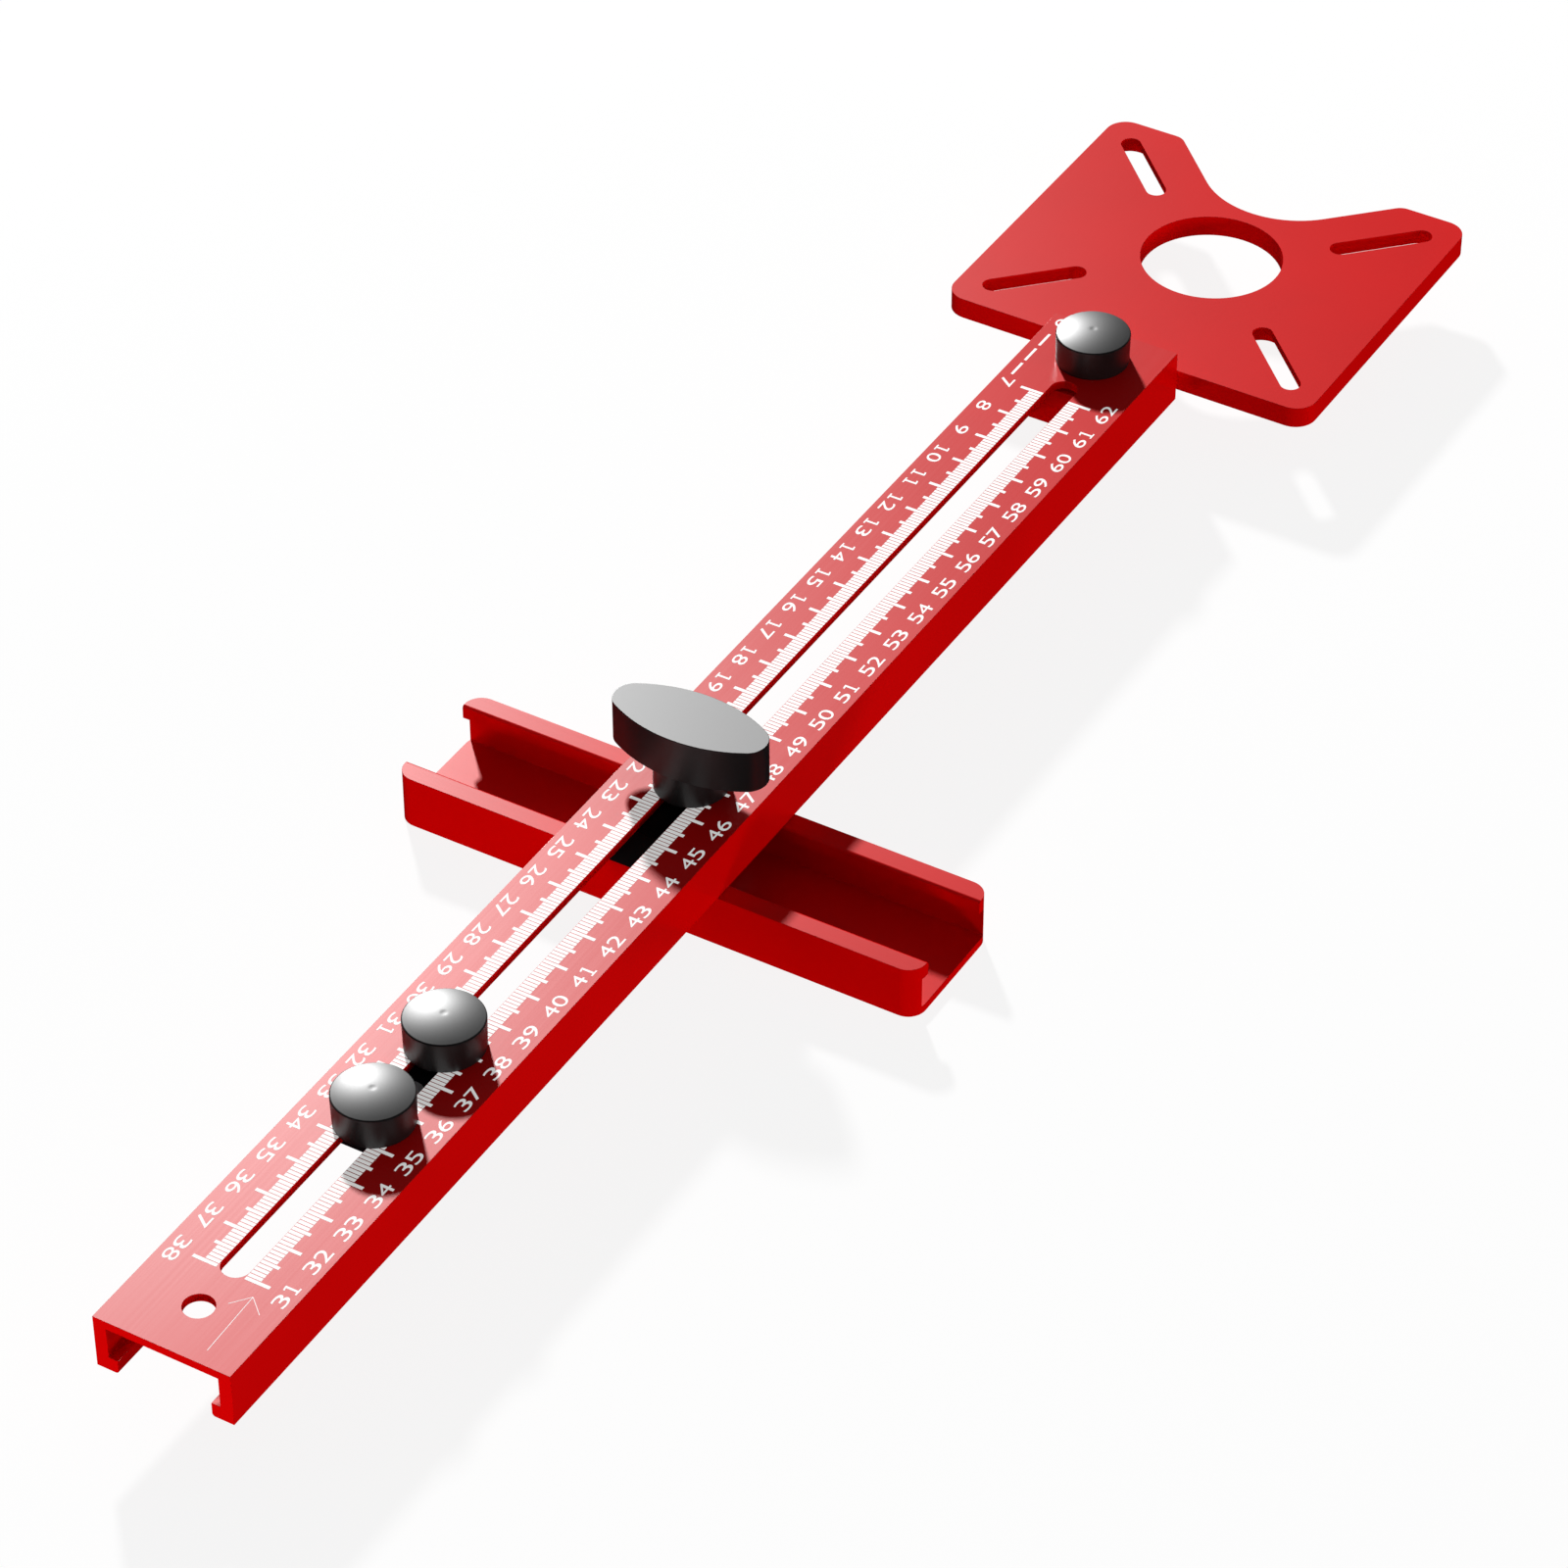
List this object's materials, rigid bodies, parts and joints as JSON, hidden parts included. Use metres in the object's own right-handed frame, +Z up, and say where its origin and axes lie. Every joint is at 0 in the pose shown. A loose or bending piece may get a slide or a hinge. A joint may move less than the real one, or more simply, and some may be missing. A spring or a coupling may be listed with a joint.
{
  "type": "router circle cutting jig",
  "caption": "Router circle cutting jig: slotted channel arm with a router plate, a cross fence clamped below it and a sliding pivot pin, all set by knobs.",
  "frame": {"origin": "centre of the router bit hole, on the plate's top face where the router's base sits", "axes": "+Z up along the bit hole's axis, +Y from the arm towards the plate's far edge, +X across the arm"},
  "size_m": [0.1213, 0.445, 0.0413],
  "materials": {
    "red_anodised": "satin red anodising",
    "knob_black": "satin black moulding",
    "nylon_black": "matte black moulding",
    "bar_black": "black anodising",
    "steel": "bright zinc plating",
    "brass": "turned"
  },
  "bodies": {
    "rule": {"arm": "red_anodised", "base_plate": "red_anodised", "plate_spacer": "red_anodised"},
    "plate_screw": {"plate_stud": "steel"},
    "plate_handle": {"plate_knob": "knob_black"},
    "fence_carriage": {"fence_block": "nylon_black", "fence_clamp_bar": "steel", "fence_stud": "steel"},
    "fence_rail": {"fence": "red_anodised"},
    "fence_nut": {"fence_knob_insert": "brass"},
    "fence_handle": {"fence_knob": "knob_black"},
    "pivot_carriage": {"pivot_bar": "bar_black", "pivot_pin": "steel"},
    "front_screw": {"pivot_stud_front": "steel"},
    "front_handle": {"pivot_knob_front": "knob_black"},
    "rear_screw": {"pivot_stud_rear": "steel"},
    "rear_handle": {"pivot_knob_rear": "knob_black"}
  },
  "joints": [
    {"name": "fence_travel", "type": "slide", "parent": "rule", "child": "fence_carriage", "axis": [0, 1, 0], "range_m": [-0.03, 0.139]},
    {"name": "fence_shift", "type": "slide", "parent": "fence_carriage", "child": "fence_rail", "axis": [1, 0, 0], "range_m": [-0.045, 0.045]},
    {"name": "pivot_travel", "type": "slide", "parent": "rule", "child": "pivot_carriage", "axis": [0, 1, 0], "range_m": [-0.044, 0.03]},
    {"name": "plate_knob_lift", "type": "slide", "parent": "rule", "child": "plate_screw", "axis": [0, 0, 1], "range_m": [0, 0.0016]},
    {"name": "plate_knob_turn", "type": "hinge", "parent": "plate_screw", "child": "plate_handle", "pos_m": [0, -0.0567, 0.007], "axis": [0, 0, 1], "range_deg": [0, 720]},
    {"name": "fence_knob_lift", "type": "slide", "parent": "fence_carriage", "child": "fence_nut", "axis": [0, 0, 1], "range_m": [0, 0.001]},
    {"name": "fence_knob_turn", "type": "hinge", "parent": "fence_nut", "child": "fence_handle", "pos_m": [0, -0.224, 0.007], "axis": [0, 0, 1], "range_deg": [0, 450]},
    {"name": "front_knob_lift", "type": "slide", "parent": "pivot_carriage", "child": "front_screw", "axis": [0, 0, 1], "range_m": [0, 0.0016]},
    {"name": "front_knob_turn", "type": "hinge", "parent": "front_screw", "child": "front_handle", "pos_m": [0, -0.337, 0.007], "axis": [0, 0, 1], "range_deg": [0, 720]},
    {"name": "rear_knob_lift", "type": "slide", "parent": "pivot_carriage", "child": "rear_screw", "axis": [0, 0, 1], "range_m": [0, 0.0016]},
    {"name": "rear_knob_turn", "type": "hinge", "parent": "rear_screw", "child": "rear_handle", "pos_m": [0, -0.313, 0.007], "axis": [0, 0, 1], "range_deg": [0, 720]}
  ],
  "couplings": [
    {"joint": "plate_knob_turn", "follows": "plate_knob_lift", "rad_per_m": 7854},
    {"joint": "fence_knob_turn", "follows": "fence_knob_lift", "rad_per_m": 7854},
    {"joint": "front_knob_turn", "follows": "front_knob_lift", "rad_per_m": 7854},
    {"joint": "rear_knob_turn", "follows": "rear_knob_lift", "rad_per_m": 7854}
  ]
}
